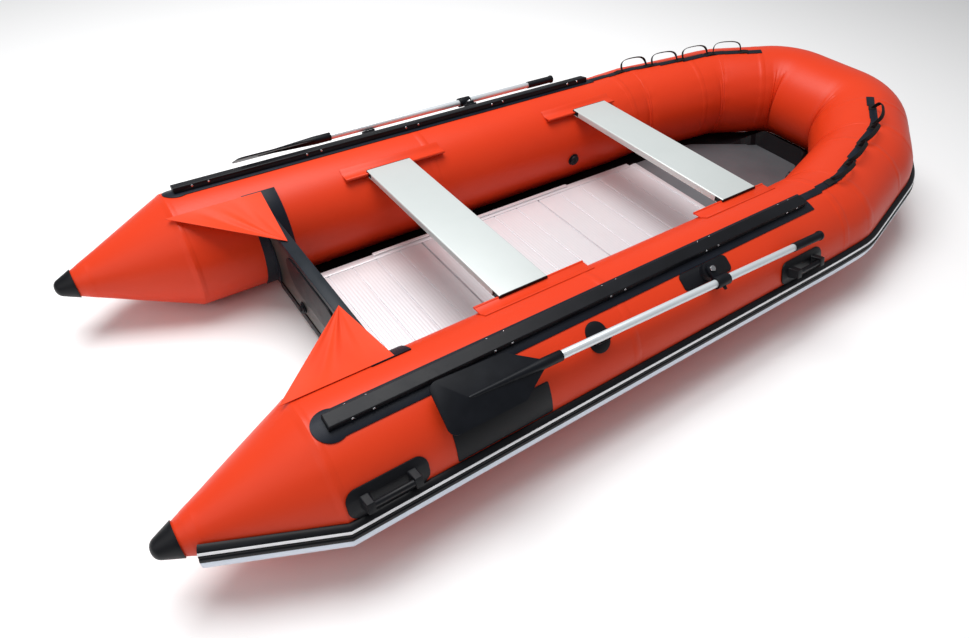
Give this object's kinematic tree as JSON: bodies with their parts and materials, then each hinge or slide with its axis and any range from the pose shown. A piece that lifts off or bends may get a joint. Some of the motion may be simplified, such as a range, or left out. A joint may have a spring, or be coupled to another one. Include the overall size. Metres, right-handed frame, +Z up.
{
  "type": "inflatable dinghy",
  "caption": "Inflatable dinghy with stern cones, a stepped aluminium floor, two sliding benches, a hard transom, a thick rub rail and a pair of oars along its tubes.",
  "frame": {"origin": "middle of the boat's bounding box in plan, on the ground that the air tubes rest on", "axes": "+X towards the bow, +Y to port, +Z up"},
  "size_m": [3.8732, 1.7452, 0.5711],
  "materials": {
    "tube_fabric": "satin",
    "hull_fabric": "satin",
    "black_rubber": "satin",
    "white_rubber": "satin",
    "grey_rubber": "satin",
    "webbing": "matte",
    "painted_board": "satin",
    "slate_plastic": "satin",
    "black_plastic": "satin",
    "silver_aluminium": "satin",
    "dark_board": "satin",
    "steel": "polished"
  },
  "bodies": {
    "hull": {"air_chamber_port": "tube_fabric", "air_chamber_bow": "tube_fabric", "air_chamber_starboard": "tube_fabric", "splash_flap_port": "tube_fabric", "splash_flap_starboard": "tube_fabric", "seat_rails": "tube_fabric", "keel_tube": "hull_fabric", "hull_bottom": "hull_fabric", "chamber_baffles": "hull_fabric", "cone_caps": "black_rubber", "motor_pad": "black_rubber", "transom_bottom_strip": "black_rubber", "transom_holder_port": "black_rubber", "transom_holder_starboard": "black_rubber", "side_rail_port": "black_rubber", "side_rail_starboard": "black_rubber", "side_rail_lugs": "black_rubber", "base_tapes": "black_rubber", "rub_rail_base": "black_rubber", "grab_tapes": "black_rubber", "carry_handles": "black_rubber", "oarlock_bases": "black_rubber", "oar_rest_pads": "black_rubber", "label_patches": "black_rubber", "tow_patch": "black_rubber", "rub_rail_white_strip": "white_rubber", "rub_rail_lower_strip": "grey_rubber", "grab_loops_port": "webbing", "grab_loops_starboard": "webbing", "transom_board": "painted_board", "transom_top_cap": "slate_plastic", "valve_bodies": "black_plastic", "drain_socket": "black_plastic", "floorboard_aft": "silver_aluminium", "floorboard_middle": "silver_aluminium", "floorboard_forward": "silver_aluminium", "floor_joint_strip": "silver_aluminium", "stringer_port": "silver_aluminium", "stringer_starboard": "silver_aluminium", "stringer_joiners": "silver_aluminium", "bow_board": "dark_board", "side_rail_bolts": "steel", "oarlock_pins": "steel"},
    "seat_aft": {"seat_plank_aft": "silver_aluminium", "seat_end_caps_aft": "black_plastic"},
    "seat_forward": {"seat_plank_forward": "silver_aluminium", "seat_end_caps_forward": "black_plastic"},
    "oar_port": {"oar_shaft_port": "silver_aluminium", "oar_blade_port": "black_plastic", "oar_grip_port": "black_plastic", "oar_collar_port": "black_plastic"},
    "oar_starboard": {"oar_shaft_starboard": "silver_aluminium", "oar_blade_starboard": "black_plastic", "oar_grip_starboard": "black_plastic", "oar_collar_starboard": "black_plastic"},
    "valve_cap_port": {"valve_cap_port": "black_plastic"},
    "valve_cap_starboard": {"valve_cap_starboard": "black_plastic"},
    "valve_cap_bow": {"valve_cap_bow": "black_plastic"},
    "drain_plug": {"drain_plug": "black_plastic"},
    "tow_ring": {"tow_ring": "steel"}
  },
  "joints": [
    {"name": "seat_aft_slide", "type": "slide", "parent": "hull", "child": "seat_aft", "axis": [1, 0, 0], "range_m": [-0.085, 0.155]},
    {"name": "seat_forward_slide", "type": "slide", "parent": "hull", "child": "seat_forward", "axis": [1, 0, 0], "range_m": [-0.15, 0.05]},
    {"name": "oar_port_swing", "type": "hinge", "parent": "hull", "child": "oar_port", "pos_m": [-0.058, 0.75343, 0.4397], "axis": [0, -0.5446, -0.8387], "range_deg": [0, 100]},
    {"name": "oar_starboard_swing", "type": "hinge", "parent": "hull", "child": "oar_starboard", "pos_m": [-0.058, -0.75343, 0.4397], "axis": [0, -0.5446, 0.8387], "range_deg": [0, 100]},
    {"name": "valve_cap_port_turn", "type": "hinge", "parent": "hull", "child": "valve_cap_port", "pos_m": [0.314, 0.38466, 0.20762], "axis": [0, -0.9971, -0.0756], "range_deg": [0, 90]},
    {"name": "valve_cap_starboard_turn", "type": "hinge", "parent": "hull", "child": "valve_cap_starboard", "pos_m": [0.314, -0.38466, 0.20762], "axis": [0, 0.9971, -0.0756], "range_deg": [0, 90]},
    {"name": "valve_cap_bow_turn", "type": "hinge", "parent": "hull", "child": "valve_cap_bow", "pos_m": [1.04195, -0.33253, 0.25301], "axis": [-0.2523, 0.9677, 0], "range_deg": [0, 90]},
    {"name": "drain_plug_turn", "type": "hinge", "parent": "hull", "child": "drain_plug", "pos_m": [-1.19742, 0.17, 0.12], "axis": [1, 0, 0], "range_deg": [0, 90]},
    {"name": "tow_ring_swing", "type": "hinge", "parent": "hull", "child": "tow_ring", "pos_m": [1.88368, 0, 0.20098], "axis": [0, -1, 0], "range_deg": [-20, 115]}
  ]
}
